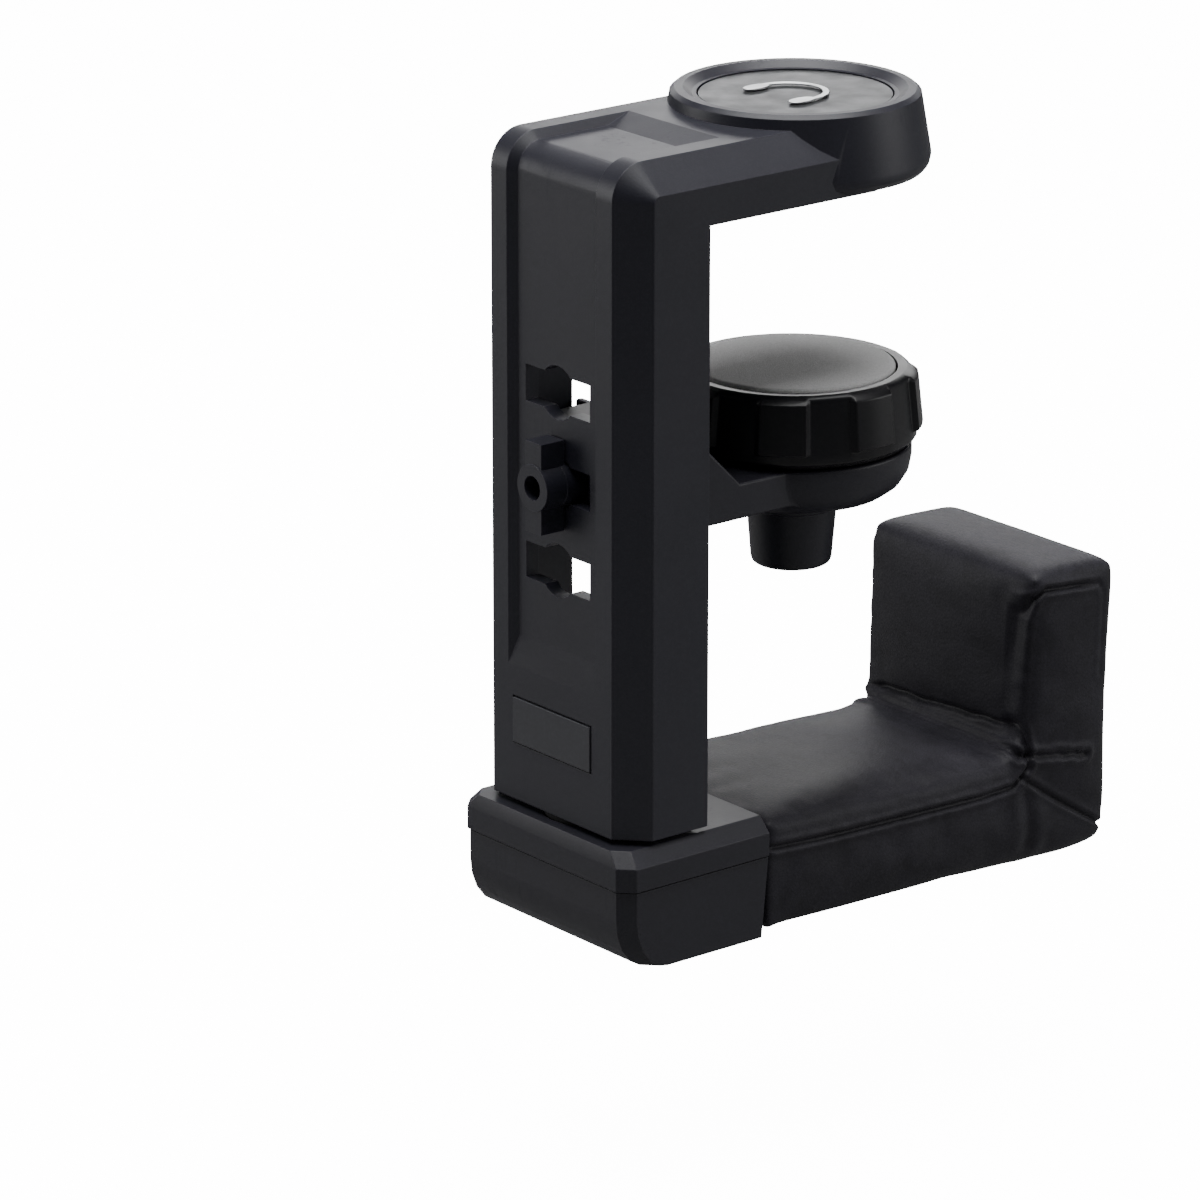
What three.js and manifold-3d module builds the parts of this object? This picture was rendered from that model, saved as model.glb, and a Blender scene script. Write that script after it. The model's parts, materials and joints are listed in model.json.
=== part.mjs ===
// Clamp-on headphone hook: a C-shaped clamp with a padded arm that swivels under its column.
// Millimetres, +Z up. The origin is the centre of the upper jaw's rubber face, on the clamp axis.
// +X points from the column towards the clamp axis, and Y is across the width.

import * as THREE from "three";
import { mergeVertices } from "three/addons/utils/BufferGeometryUtils.js";
import Module from "manifold-3d";

const wasm = await Module();
wasm.setup();

// ---- driving dimensions ----

const CLEARANCE = 0.3; // between pieces that touch
const ROUND = 48; // sides of a large round piece
const ROUND_SMALL = 20; // sides of a small round piece

// C frame: column, top arm and round head
const WIDTH = 50;
const COLUMN_DEPTH = 20.1;
const REACH = 63; // column's back face to the clamp axis
const ARM_THICKNESS = 13.9;
const FRAME_HEIGHT = 138.7; // foot to top of the arm
const EDGE_BEVEL = 5.9; // 45 degree band along the outer edges
const CORNER_RADIUS = 7.5; // where the back turns into the top
const WALL = 3.2; // back wall, behind the groove
const SIDE_WALL = 6.6;
const FOOT_THICKNESS = 7;
const GROOVE_DEPTH = 1.65; // wide shallow groove up the back and over the top
const GROOVE_HALF = 12.4; // half width of its floor
const GROOVE_SLOPE = 1.7; // sideways run of its sloping walls
const GROOVE_START = 29; // above the foot
const GROOVE_END = 31; // forward of the back face
const GROOVE_RAMP = 6.8; // length of the slope at its front end
const GROOVE_FOOT_RAMP = 6; // and at its lower end

const HEAD_RADIUS_TOP = 25;
const HEAD_RADIUS_BOTTOM = 27.6;
const HEAD_PROUD = 2.9; // rim above the top arm
const BADGE_RADIUS = 19.7;
const BADGE_THICKNESS = 1.2;

const UPPER_PAD_RADIUS = 19;
const UPPER_PAD_PROUD = 1.8;
const UPPER_PAD_SUNK = 1.2;

// key slots in the back wall
const SLOT_LENGTH = 20.4;
const SLOT_HEIGHT = 7.6;
const SLOT_ROUND = 5.6; // radius of the round middle
const SLOT_PITCH = 18.5;
const SLOT_MIDDLE = 70; // above the foot

// label on the back face
const LABEL = { width: 24.8, height: 9.6, thickness: 0.9, aboveFoot: 17.2, sunk: 0.6 };

// lower jaw
const JAW_WIDTH = 36;
const JAW_BACK_HEIGHT = 19.6;
const JAW_TONGUE_WIDTH = 29; // narrow enough to turn inside the column's channel
const BOWL_RADIUS = 24.6;
const BOWL_FLAT_RADIUS = 17;
const BOWL_WALL = 2.6;
const SLEEVE_TOP_RADIUS = 9.3;
const SLEEVE_BOTTOM_RADIUS = 8.4;
const KEY = { height: 18.8, width: 5, thickness: 5.9, ring: 4.8, hole: 2.5, stem: 4.9 };

// knob, screw and pressure pad
const CLAMP_GAP = 39; // between the pads with the knob fully down
const KNOB_HEIGHT = 15.3;
const KNOB_RADIUS_TOP = 24.4;
const KNOB_RADIUS_BOTTOM = 25.6;
const RIB_COUNT = 8;
const RIB_ANGLE = THREE.MathUtils.degToRad(21);
const RIB_PROUD = 1.2;
const PRESSURE_PAD_RADIUS = 21;
const SCREW_RADIUS = 4;
const SCREW_PITCH = 3;

// swivelling hanger
const COLLAR = { back: 3, front: 34.7, width: 54.4, gap: 1.2, height: 25.4, seam: 9.3, bevel: 3, edge: 3 };
const KEEL_DEPTH = 11; // height over which the collar's back curves in towards its underside
const KEEL_RUN = 8; // how far it curves in
const ARM_END = 129.4; // forward of the column's back face
const ARM_WIDTH = 51;
const SEAT_TOP = 1.7; // below the foot
const SEAT_THICKNESS = 25;
const UPRIGHT_THICKNESS = 23.9;
const UPRIGHT_TOP = 36.5; // above the foot
const COVER_WALL = 1.3;
const CORE_THICKNESS = 5;
const CORE_WIDTH = 32;
const BOLT_RADIUS = 3;
const BOLT_FLATS = 10; // across the flats of its head and nut

// ---- places worked out from them ----

const X_BACK = -REACH;
const X_FRONT = X_BACK + COLUMN_DEPTH;
const Z_UNDER = UPPER_PAD_PROUD;
const Z_TOP = Z_UNDER + ARM_THICKNESS;
const Z_FOOT = Z_TOP - FRAME_HEIGHT;
const X_CHANNEL = X_BACK + GROOVE_DEPTH + WALL;
const Z_SLOTS = [1, 0, -1].map((step) => Z_FOOT + SLOT_MIDDLE + step * SLOT_PITCH);
const Z_KEY = Z_SLOTS[1];
const Z_PAD_TOP = -CLAMP_GAP;
const Z_KNOB_TOP = Z_PAD_TOP - 0.6;
const Z_KNOB_BOTTOM = Z_KNOB_TOP - KNOB_HEIGHT;
const Z_BOWL_TOP = Z_KNOB_BOTTOM - CLEARANCE;
const Z_BOWL_BOTTOM = Z_BOWL_TOP - 10.8;
const Z_SLEEVE_BOTTOM = Z_FOOT + 41.4;
const X_PIVOT = X_BACK + COLUMN_DEPTH / 2;
const Z_COLLAR_TOP = Z_FOOT - COLLAR.gap;
const Z_COLLAR_BOTTOM = Z_COLLAR_TOP - COLLAR.height;
const Z_SEAM = Z_FOOT - COLLAR.seam;
const X_COLLAR_BACK = X_BACK - COLLAR.back;
const X_COLLAR_FRONT = X_BACK + COLLAR.front;
const X_ARM_END = X_BACK + ARM_END;
const X_UPRIGHT = X_ARM_END - UPRIGHT_THICKNESS;
const Z_SEAT_TOP = Z_FOOT - SEAT_TOP;
const Z_SEAT_BOTTOM = Z_SEAT_TOP - SEAT_THICKNESS;
const Z_UPRIGHT_TOP = Z_FOOT + UPRIGHT_TOP;

// ---- materials ----

const paint = (color, roughness, metalness = 0) =>
  new THREE.MeshStandardMaterial({ color, roughness, metalness });
const shell = paint(0x2f3238, 0.45);
const darkShell = paint(0x1c1d20, 0.5);
const knobPlastic = paint(0x17181a, 0.38);
const padFoam = paint(0x6d6d70, 0.9);
const rubber = paint(0x26262a, 0.85);
const leather = paint(0x1b1b1e, 0.5);
const foam = paint(0x4a4a4e, 0.95);
const steel = paint(0xb4b7bb, 0.35, 1);
const blackSteel = paint(0x3a3b3e, 0.45, 0.9);
const brass = paint(0xb9954f, 0.35, 1);
const badgeMetal = paint(0x77797e, 0.4, 0.8);
const silverLine = paint(0xd5d6d8, 0.3, 0.9);
const labelFilm = paint(0x3d3e44, 0.5);

// ---- solid helpers ----

// A closed three.js geometry as a Manifold solid.
function solid(geometry) {
  const bare = geometry.clone();
  bare.deleteAttribute("normal");
  bare.deleteAttribute("uv");
  const welded = mergeVertices(bare, 1e-4);
  const mesh = new wasm.Mesh({
    numProp: 3,
    vertProperties: new Float32Array(welded.attributes.position.array),
    triVerts: new Uint32Array(welded.index.array),
  });
  return new wasm.Manifold(mesh);
}

// A Manifold solid back as a flat-shaded three.js geometry.
function toGeometry(manifold) {
  const mesh = manifold.getMesh();
  const geometry = new THREE.BufferGeometry();
  const points = new Float32Array(mesh.vertProperties);
  geometry.setAttribute("position", new THREE.BufferAttribute(points, 3));
  geometry.setIndex(new THREE.BufferAttribute(new Uint32Array(mesh.triVerts), 1));
  geometry.computeVertexNormals();
  return geometry;
}

const cut = (body, ...tools) => tools.reduce((left, tool) => left.subtract(tool), body);
const join = (body, ...others) => others.reduce((sum, other) => sum.add(other), body);

// A box given by its lowest and highest corners.
function box(low, high) {
  const size = high.map((value, i) => value - low[i]);
  const geometry = new THREE.BoxGeometry(...size);
  geometry.translate(...low.map((value, i) => value + size[i] / 2));
  return solid(geometry);
}

// A solid of revolution about a vertical axis through (x, y), from [radius, z] points.
function turned(points, x = 0, y = 0, sides = ROUND) {
  const outline = points.map(([radius, z]) => new THREE.Vector2(radius, z));
  const geometry = new THREE.LatheGeometry(outline, sides);
  geometry.rotateX(Math.PI / 2);
  geometry.translate(x, y, 0);
  return solid(geometry);
}

// A plain round bar or disc about a vertical axis.
function disc(radius, low, high, x = 0, y = 0, sides = ROUND) {
  return turned([[0, low], [radius, low], [radius, high], [0, high]], x, y, sides);
}

// A flat ring about a vertical axis.
function ring(inner, outer, low, high, x = 0, y = 0, sides = ROUND_SMALL) {
  return cut(disc(outer, low, high, x, y, sides), disc(inner, low - 1, high + 1, x, y, sides));
}

// A round bar along X through (y, z).
function barX(radius, low, high, y, z, sides = ROUND_SMALL) {
  const geometry = new THREE.CylinderGeometry(radius, radius, high - low, sides);
  geometry.rotateZ(Math.PI / 2);
  geometry.translate((low + high) / 2, y, z);
  return solid(geometry);
}

const shapeOf = (points) => new THREE.Shape(points.map(([a, b]) => new THREE.Vector2(a, b)));

// An outline of [x, z] points, extruded across the width between two Y values,
// with an optional sloping band of run `bevel` sideways and `inset` inwards at both ends.
function across(outline, yLow, yHigh, bevel = 0, inset = bevel) {
  const shape = outline instanceof THREE.Shape ? outline : shapeOf(outline);
  const geometry = new THREE.ExtrudeGeometry(shape, {
    depth: yHigh - yLow - 2 * bevel,
    bevelEnabled: bevel > 0,
    bevelThickness: bevel,
    bevelSize: inset,
    bevelOffset: -inset,
    bevelSegments: 1,
    curveSegments: 6,
    steps: 1,
  });
  geometry.rotateX(Math.PI / 2);
  geometry.translate(0, yHigh - bevel, 0);
  return solid(geometry);
}

// An outline of [x, y] points, extruded upwards between two Z values.
function upwards(outline, zLow, zHigh, bevel = 0) {
  const shape = outline instanceof THREE.Shape ? outline : shapeOf(outline);
  const geometry = new THREE.ExtrudeGeometry(shape, {
    depth: zHigh - zLow - 2 * bevel,
    bevelEnabled: bevel > 0,
    bevelThickness: bevel,
    bevelSize: bevel,
    bevelOffset: -bevel,
    bevelSegments: 1,
    curveSegments: 12,
    steps: 1,
  });
  geometry.translate(0, 0, zLow + bevel);
  return solid(geometry);
}

const hook = new THREE.Group();
hook.name = "headphone_hook";

function piece(name, manifold, material) {
  const mesh = new THREE.Mesh(toGeometry(manifold), material);
  mesh.name = name;
  hook.add(mesh);
}

// ---- C frame ----

// Outline of the back and top, inset by a distance, running far past the front and foot.
function backAndTop(inset) {
  const back = X_BACK + inset;
  const top = Z_TOP - inset;
  const radius = CORNER_RADIUS - inset;
  const shape = new THREE.Shape();
  shape.moveTo(back, Z_FOOT - 40);
  shape.lineTo(60, Z_FOOT - 40);
  shape.lineTo(60, top);
  shape.lineTo(back + radius, top);
  shape.absarc(back + radius, top - radius, radius, Math.PI / 2, Math.PI, false);
  shape.lineTo(back, Z_FOOT - 40);
  return shape;
}

// The groove's tool: everything outside the inset outline, between sloping side walls.
function grooveTool() {
  const half = GROOVE_HALF + GROOVE_SLOPE;
  const strip = across(
    [
      [X_BACK - 2 * GROOVE_DEPTH, Z_FOOT + GROOVE_START - 2 * GROOVE_FOOT_RAMP],
      [X_BACK + 2 * GROOVE_DEPTH, Z_FOOT + GROOVE_START + 2 * GROOVE_FOOT_RAMP],
      [X_BACK + 2 * GROOVE_DEPTH, Z_TOP - 8],
      [X_BACK + GROOVE_END - 3 * GROOVE_RAMP, Z_TOP - 3 * GROOVE_DEPTH],
      [X_BACK + GROOVE_END + 2 * GROOVE_RAMP, Z_TOP + 2 * GROOVE_DEPTH],
      [X_BACK - 2 * GROOVE_DEPTH, Z_TOP + 5],
    ],
    -half,
    half,
  );
  const floor = across(backAndTop(GROOVE_DEPTH), -half - 1, half + 1);
  const rail = (sign) => {
    const inner = sign > 0 ? GROOVE_HALF : -WIDTH;
    const outer = sign > 0 ? WIDTH : -GROOVE_HALF;
    return across(backAndTop(0), inner, outer, GROOVE_SLOPE, GROOVE_DEPTH);
  };
  return cut(strip, floor, rail(1), rail(-1));
}

function keySlot(z) {
  const half = SLOT_LENGTH / 2;
  const low = X_BACK - 5;
  const high = X_CHANNEL + 2;
  const bar = box([low, -half, z - SLOT_HEIGHT / 2], [high, half, z + SLOT_HEIGHT / 2]);
  return join(bar, barX(SLOT_ROUND, low, high, 0, z));
}

function frameSolid() {
  const bevelled = across(backAndTop(0), -WIDTH / 2, WIDTH / 2, EDGE_BEVEL);
  const column = box([X_BACK - 5, -WIDTH, Z_FOOT], [X_FRONT, WIDTH, Z_TOP + 5]);
  const arm = box([X_BACK - 5, -WIDTH, Z_UNDER], [0, WIDTH, Z_TOP + 5]);
  const body = bevelled.intersect(join(column, arm));

  const rim = Z_TOP + HEAD_PROUD;
  const head = turned([
    [0, Z_UNDER],
    [HEAD_RADIUS_BOTTOM - 3, Z_UNDER],
    [HEAD_RADIUS_BOTTOM - 1.3, Z_UNDER + 0.6],
    [HEAD_RADIUS_BOTTOM - 0.4, Z_UNDER + 1.7],
    [HEAD_RADIUS_BOTTOM, Z_UNDER + 3.6],
    [HEAD_RADIUS_TOP + 0.5, rim - 0.8],
    [HEAD_RADIUS_TOP - 0.5, rim],
    [HEAD_RADIUS_TOP - 2.2, rim],
    [BADGE_RADIUS + 1.2, rim - 1.2],
    [BADGE_RADIUS + CLEARANCE, rim - 1.2],
    [BADGE_RADIUS + CLEARANCE, rim - 1.4 - BADGE_THICKNESS],
    [0, rim - 1.4 - BADGE_THICKNESS],
  ]);

  const inner = WIDTH / 2 - SIDE_WALL;
  const channel = box([X_CHANNEL, -inner, Z_FOOT + FOOT_THICKNESS], [X_FRONT + 5, inner, Z_UNDER - 5]);
  const padPocket = disc(UPPER_PAD_RADIUS + CLEARANCE, Z_UNDER - 1, Z_UNDER + UPPER_PAD_SUNK + CLEARANCE);
  const boltHole = disc(BOLT_RADIUS + CLEARANCE, Z_FOOT - 1, Z_FOOT + 20, X_PIVOT, 0, ROUND_SMALL);
  const labelZ = Z_FOOT + LABEL.aboveFoot;
  const labelHalf = LABEL.height / 2 + CLEARANCE;
  const labelSide = LABEL.width / 2 + CLEARANCE;
  const labelPocket = box(
    [X_BACK - 1, -labelSide, labelZ - labelHalf],
    [X_BACK + LABEL.sunk + CLEARANCE, labelSide, labelZ + labelHalf],
  );
  const grooved = cut(body, grooveTool(), channel);
  return cut(join(grooved, head), padPocket, boltHole, labelPocket, ...Z_SLOTS.map(keySlot));
}

piece("c_frame", frameSolid(), shell);

const Z_BADGE = Z_TOP + HEAD_PROUD - 1.4;
piece("badge_plate", disc(BADGE_RADIUS, Z_BADGE - BADGE_THICKNESS + CLEARANCE, Z_BADGE), badgeMetal);

// A plain headphone symbol: a headband arc with an ear cup at each end.
function headphoneSymbol() {
  const low = Z_BADGE + CLEARANCE;
  const high = low + 0.35;
  const shape = new THREE.Shape();
  shape.absarc(0, 0, 8.2, -0.12, Math.PI + 0.12, false);
  shape.absarc(0, 0, 6.9, Math.PI + 0.12, -0.12, true);
  const cup = (side) => {
    const x = side * 7.1;
    const outline = new THREE.Shape();
    outline.absellipse(x, -2.6, 1.7, 3.2, 0, 2 * Math.PI);
    return upwards(outline, low, high);
  };
  const symbol = join(upwards(shape, low, high), cup(1), cup(-1));
  return symbol.rotate([0, 0, -90]).translate([-1.8, 0, 0]);
}

piece("badge_symbol", headphoneSymbol(), silverLine);

const upperPad = turned([
  [0, 0],
  [UPPER_PAD_RADIUS - 0.6, 0],
  [UPPER_PAD_RADIUS, 0.6],
  [UPPER_PAD_RADIUS, Z_UNDER + UPPER_PAD_SUNK],
  [0, Z_UNDER + UPPER_PAD_SUNK],
]);
piece("upper_jaw_pad", upperPad, rubber);

const labelBack = X_BACK + LABEL.sunk;
const labelCentre = Z_FOOT + LABEL.aboveFoot;
const labelPlate = box(
  [labelBack - LABEL.thickness, -LABEL.width / 2, labelCentre - LABEL.height / 2],
  [labelBack, LABEL.width / 2, labelCentre + LABEL.height / 2],
);
piece("back_label", labelPlate, labelFilm);

// ---- lower jaw, which locks into a slot with a quarter turn ----

function jawSolid() {
  const low = Z_KEY - JAW_BACK_HEIGHT / 2;
  const high = Z_KEY + JAW_BACK_HEIGHT / 2;
  const back = X_CHANNEL + CLEARANCE;
  const armTop = Z_BOWL_TOP - 0.1;
  const shoulder = X_FRONT + 2;
  const front = X_FRONT + CLEARANCE;
  const profile = [
    [front, low],
    [0, low],
    [0, armTop],
    [shoulder + (high - armTop), armTop],
    [shoulder, high],
    [front, high],
  ];
  const tongueHalf = JAW_TONGUE_WIDTH / 2;
  const tongue = box([back, -tongueHalf, low], [front + 1, tongueHalf, high]);
  const arm = join(across(profile, -JAW_WIDTH / 2, JAW_WIDTH / 2), tongue);
  const flat = BOWL_FLAT_RADIUS;
  const side = BOWL_RADIUS - flat;
  const drop = Z_BOWL_TOP - 2.5 - Z_BOWL_BOTTOM;
  const curve = [0, 22.5, 45, 67.5, 90].map((angle) => {
    const turn = THREE.MathUtils.degToRad(angle);
    return [flat + side * Math.sin(turn), Z_BOWL_BOTTOM + drop * (1 - Math.cos(turn))];
  });
  const bowl = turned([[0, Z_BOWL_BOTTOM], ...curve, [BOWL_RADIUS, Z_BOWL_TOP], [0, Z_BOWL_TOP]]);
  const hollowRadius = BOWL_RADIUS - BOWL_WALL;
  const hollow = ring(12, hollowRadius, Z_BOWL_TOP - 5, Z_BOWL_TOP + 8, 0, 0, ROUND);
  const sleeveHole = disc(SLEEVE_TOP_RADIUS - 1.5 + CLEARANCE, Z_BOWL_BOTTOM - 8, Z_BOWL_TOP + 8);
  const keyHole = barX(1.7, back - 1, back + 12, 0, Z_KEY, 24);
  const seat = barX(KEY.stem + CLEARANCE, back - 1, back + 3, 0, Z_KEY);
  const relief = disc(KNOB_RADIUS_BOTTOM + RIB_PROUD + 0.8, armTop, high + 5);
  return cut(join(arm, bowl), hollow, sleeveHole, keyHole, seat, relief);
}

piece("jaw_body", jawSolid(), darkShell);

// The key: an upright bar with a round eye outside the back wall, on a round stem.
function keySolid() {
  const outside = X_BACK + GROOVE_DEPTH - CLEARANCE;
  const tip = outside - KEY.thickness;
  const stemEnd = X_CHANNEL + CLEARANCE + 2.7;
  const half = KEY.height / 2;
  const bar = box([tip, -KEY.width / 2, Z_KEY - half], [outside, KEY.width / 2, Z_KEY + half]);
  const eye = barX(KEY.ring, tip - 0.3, outside, 0, Z_KEY, 32);
  const stem = barX(KEY.stem, outside - 1, stemEnd, 0, Z_KEY, 32);
  const headHole = barX(KEY.hole, tip - 1, stemEnd - 4, 0, Z_KEY, 24);
  const shankHole = barX(1.7, tip - 1, stemEnd + 1, 0, Z_KEY, 24);
  return cut(join(bar, eye, stem), headHole, shankHole);
}

piece("bayonet_key", keySolid(), shell);

const keyHead = X_CHANNEL + CLEARANCE + 2.7 - 4 - CLEARANCE;
const keyScrew = join(
  barX(2.2, keyHead - 1.6, keyHead, 0, Z_KEY, 24),
  barX(1.4, keyHead - 0.5, X_CHANNEL + 11, 0, Z_KEY, 20),
);
const keyDrive = box([keyHead - 3, -1.5, Z_KEY - 0.35], [keyHead - 1, 1.5, Z_KEY + 0.35]);
piece("key_screw", cut(keyScrew, keyDrive), blackSteel);

// The tapered sleeve under the bowl carries the thread and hides the screw's lower end.
function sleeveSolid() {
  const inside = SLEEVE_TOP_RADIUS - 1.5;
  const collarTop = Z_BOWL_BOTTOM - CLEARANCE;
  const outer = turned([
    [0, Z_SLEEVE_BOTTOM],
    [SLEEVE_BOTTOM_RADIUS - 1, Z_SLEEVE_BOTTOM],
    [SLEEVE_BOTTOM_RADIUS - 0.3, Z_SLEEVE_BOTTOM + 0.4],
    [SLEEVE_BOTTOM_RADIUS, Z_SLEEVE_BOTTOM + 1.3],
    [SLEEVE_TOP_RADIUS, collarTop - 3],
    [SLEEVE_TOP_RADIUS + 0.5, collarTop - 2.8],
    [SLEEVE_TOP_RADIUS + 0.5, collarTop],
    [inside, collarTop],
    [inside, Z_BOWL_TOP - 2],
    [0, Z_BOWL_TOP - 2],
  ]);
  const bore = disc(6 + CLEARANCE, Z_SLEEVE_BOTTOM + 2, Z_BOWL_TOP);
  return cut(outer, bore);
}

piece("screw_sleeve", sleeveSolid(), darkShell);

const insert = ring(SCREW_RADIUS + CLEARANCE, 6, Z_BOWL_BOTTOM - 4, Z_BOWL_TOP - 2.2);
piece("thread_insert", insert, brass);

// ---- pressure pad, which rises without turning ----

const pad = turned([
  [0, Z_PAD_TOP - 2],
  [PRESSURE_PAD_RADIUS, Z_PAD_TOP - 2],
  [PRESSURE_PAD_RADIUS, Z_PAD_TOP - 0.5],
  [PRESSURE_PAD_RADIUS - 0.5, Z_PAD_TOP],
  [0, Z_PAD_TOP],
]);
piece("pressure_pad", pad, padFoam);

const discTop = Z_PAD_TOP - 2 - CLEARANCE;
const padDisc = cut(
  join(disc(PRESSURE_PAD_RADIUS - 0.5, discTop - 2, discTop), disc(5, discTop - 5.5, discTop - 1, 0, 0, ROUND_SMALL)),
  disc(1.6 + CLEARANCE, discTop - 6, discTop + 1, 0, 0, ROUND_SMALL),
  disc(3.3 + CLEARANCE, discTop - 1.6, discTop + 1, 0, 0, ROUND_SMALL),
);
piece("pad_disc", padDisc, darkShell);

const discScrew = join(
  disc(3.3, discTop - 1.3, discTop - 0.1, 0, 0, ROUND_SMALL),
  disc(1.6, discTop - 8.8, discTop - 1, 0, 0, ROUND_SMALL),
);
piece("pad_screw", discScrew, steel);

// ---- knob and its screw ----

// Rounded outline of the knob's grip at one height: raised ribs between plain lengths.
function knobLayer(radius, proud) {
  const step = (2 * Math.PI) / RIB_COUNT;
  const flank = THREE.MathUtils.degToRad(2.2);
  const points = [];
  for (let i = 0; i < RIB_COUNT; i += 1) {
    const middle = i * step;
    const half = RIB_ANGLE / 2;
    const corners = [
      [middle - half - flank, radius],
      [middle - half, radius + proud],
      [middle - half / 3, radius + proud],
      [middle + half / 3, radius + proud],
      [middle + half, radius + proud],
      [middle + half + flank, radius],
      [middle + step / 2 - step / 8, radius],
      [middle + step / 2 + step / 8 - flank, radius],
    ];
    corners.forEach(([angle, distance]) => points.push([angle, distance]));
  }
  return points;
}

// A closed solid through a stack of same-length outlines, each { z, points: [angle, radius] }.
function loft(layers) {
  const count = layers[0].points.length;
  const positions = [];
  layers.forEach(({ z, points }) => {
    points.forEach(([angle, radius]) => {
      positions.push(radius * Math.cos(angle), radius * Math.sin(angle), z);
    });
  });
  const bottom = positions.length / 3;
  positions.push(0, 0, layers[0].z, 0, 0, layers[layers.length - 1].z);
  const faces = [];
  for (let i = 0; i < count; i += 1) {
    const next = (i + 1) % count;
    for (let row = 0; row < layers.length - 1; row += 1) {
      const a = row * count + i;
      const b = row * count + next;
      faces.push(a, b, b + count, a, b + count, a + count);
    }
    const last = (layers.length - 1) * count;
    faces.push(bottom, next, i, bottom + 1, last + i, last + next);
  }
  const geometry = new THREE.BufferGeometry();
  geometry.setAttribute("position", new THREE.Float32BufferAttribute(positions, 3));
  geometry.setIndex(faces);
  return solid(geometry);
}

function knobSolid() {
  const layer = (z, radius, proud) => ({ z, points: knobLayer(radius, proud) });
  const ribFoot = Z_KNOB_BOTTOM + 3.2;
  const grip = loft([
    layer(Z_KNOB_BOTTOM, KNOB_RADIUS_BOTTOM - 1.4, 0),
    layer(Z_KNOB_BOTTOM + 1.4, KNOB_RADIUS_BOTTOM, 0),
    layer(ribFoot, KNOB_RADIUS_BOTTOM, 0),
    layer(ribFoot + 0.3, KNOB_RADIUS_BOTTOM, RIB_PROUD),
    layer(Z_KNOB_TOP - 1.5, KNOB_RADIUS_TOP + 0.1, RIB_PROUD),
    layer(Z_KNOB_TOP - 0.7, KNOB_RADIUS_TOP - 0.1, RIB_PROUD * 0.4),
    layer(Z_KNOB_TOP - 0.3, KNOB_RADIUS_TOP - 0.5, 0),
    layer(Z_KNOB_TOP, KNOB_RADIUS_TOP - 1.1, 0),
  ]);
  const padWell = disc(PRESSURE_PAD_RADIUS + 0.4, discTop - 2 - CLEARANCE, Z_KNOB_TOP + 1);
  const hubWell = disc(5 + CLEARANCE, discTop - 5.5 - CLEARANCE, Z_KNOB_TOP + 1, 0, 0, ROUND_SMALL);
  const screwWell = disc(SCREW_RADIUS + CLEARANCE, Z_KNOB_BOTTOM - 1, discTop - 5, 0, 0, ROUND_SMALL);
  return cut(grip, padWell, hubWell, screwWell);
}

piece("knob_body", knobSolid(), knobPlastic);

// A rod with one helical thread, from a grid of rings whose radius follows the helix.
function threadedRod(low, high, radius, pitch, depth) {
  const sides = 16;
  const rows = Math.round((high - low) / (pitch / 4));
  const layers = [];
  for (let row = 0; row <= rows; row += 1) {
    const z = low + ((high - low) * row) / rows;
    const atEnd = Math.min(row, rows - row) < 2;
    const points = [];
    for (let side = 0; side < sides; side += 1) {
      const angle = (2 * Math.PI * side) / sides;
      const wave = 0.5 + 0.5 * Math.cos((2 * Math.PI * z) / pitch - angle);
      points.push([angle, radius - depth * (atEnd ? 1 : 1 - Math.min(1, wave * 1.4))]);
    }
    layers.push({ z, points });
  }
  return loft(layers);
}

const screwTop = discTop - 5.5 - 2 * CLEARANCE;
const clampScrew = cut(
  threadedRod(Z_SLEEVE_BOTTOM + 2.4, screwTop, SCREW_RADIUS, SCREW_PITCH, 0.9),
  disc(1.6 + CLEARANCE, discTop - 9.2, screwTop + 1, 0, 0, 20),
);
piece("clamp_screw", clampScrew, steel);

// ---- swivelling collar: two moulded halves round the pivot ----

// Plan outline of the collar at one height, with bevelled back corners, set in from its widest
// by a distance at the sides, at the back and at the front.
function collarPlan(z, sideInset = 0, backInset = 0, frontInset = 0) {
  const half = COLLAR.width / 2 - sideInset;
  const back = X_COLLAR_BACK + backInset;
  const front = X_COLLAR_FRONT - frontInset;
  const bevel = COLLAR.bevel;
  return [
    [back, -half + bevel, z],
    [back + bevel, -half, z],
    [front, -half, z],
    [front, half, z],
    [back + bevel, half, z],
    [back, half - bevel, z],
  ];
}

// A closed solid through a stack of level outlines with the same number of corners.
function stacked(outlines) {
  const count = outlines[0].length;
  const faces = [];
  for (let i = 0; i < count; i += 1) {
    const next = (i + 1) % count;
    for (let row = 0; row < outlines.length - 1; row += 1) {
      const a = row * count + i;
      const b = row * count + next;
      faces.push(a, b, b + count, a, b + count, a + count);
    }
    if (i > 0 && i < count - 1) {
      const last = (outlines.length - 1) * count;
      faces.push(0, i + 1, i, last, last + i, last + i + 1);
    }
  }
  const geometry = new THREE.BufferGeometry();
  geometry.setAttribute("position", new THREE.Float32BufferAttribute(outlines.flat(2), 3));
  geometry.setIndex(faces);
  return solid(geometry);
}

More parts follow.
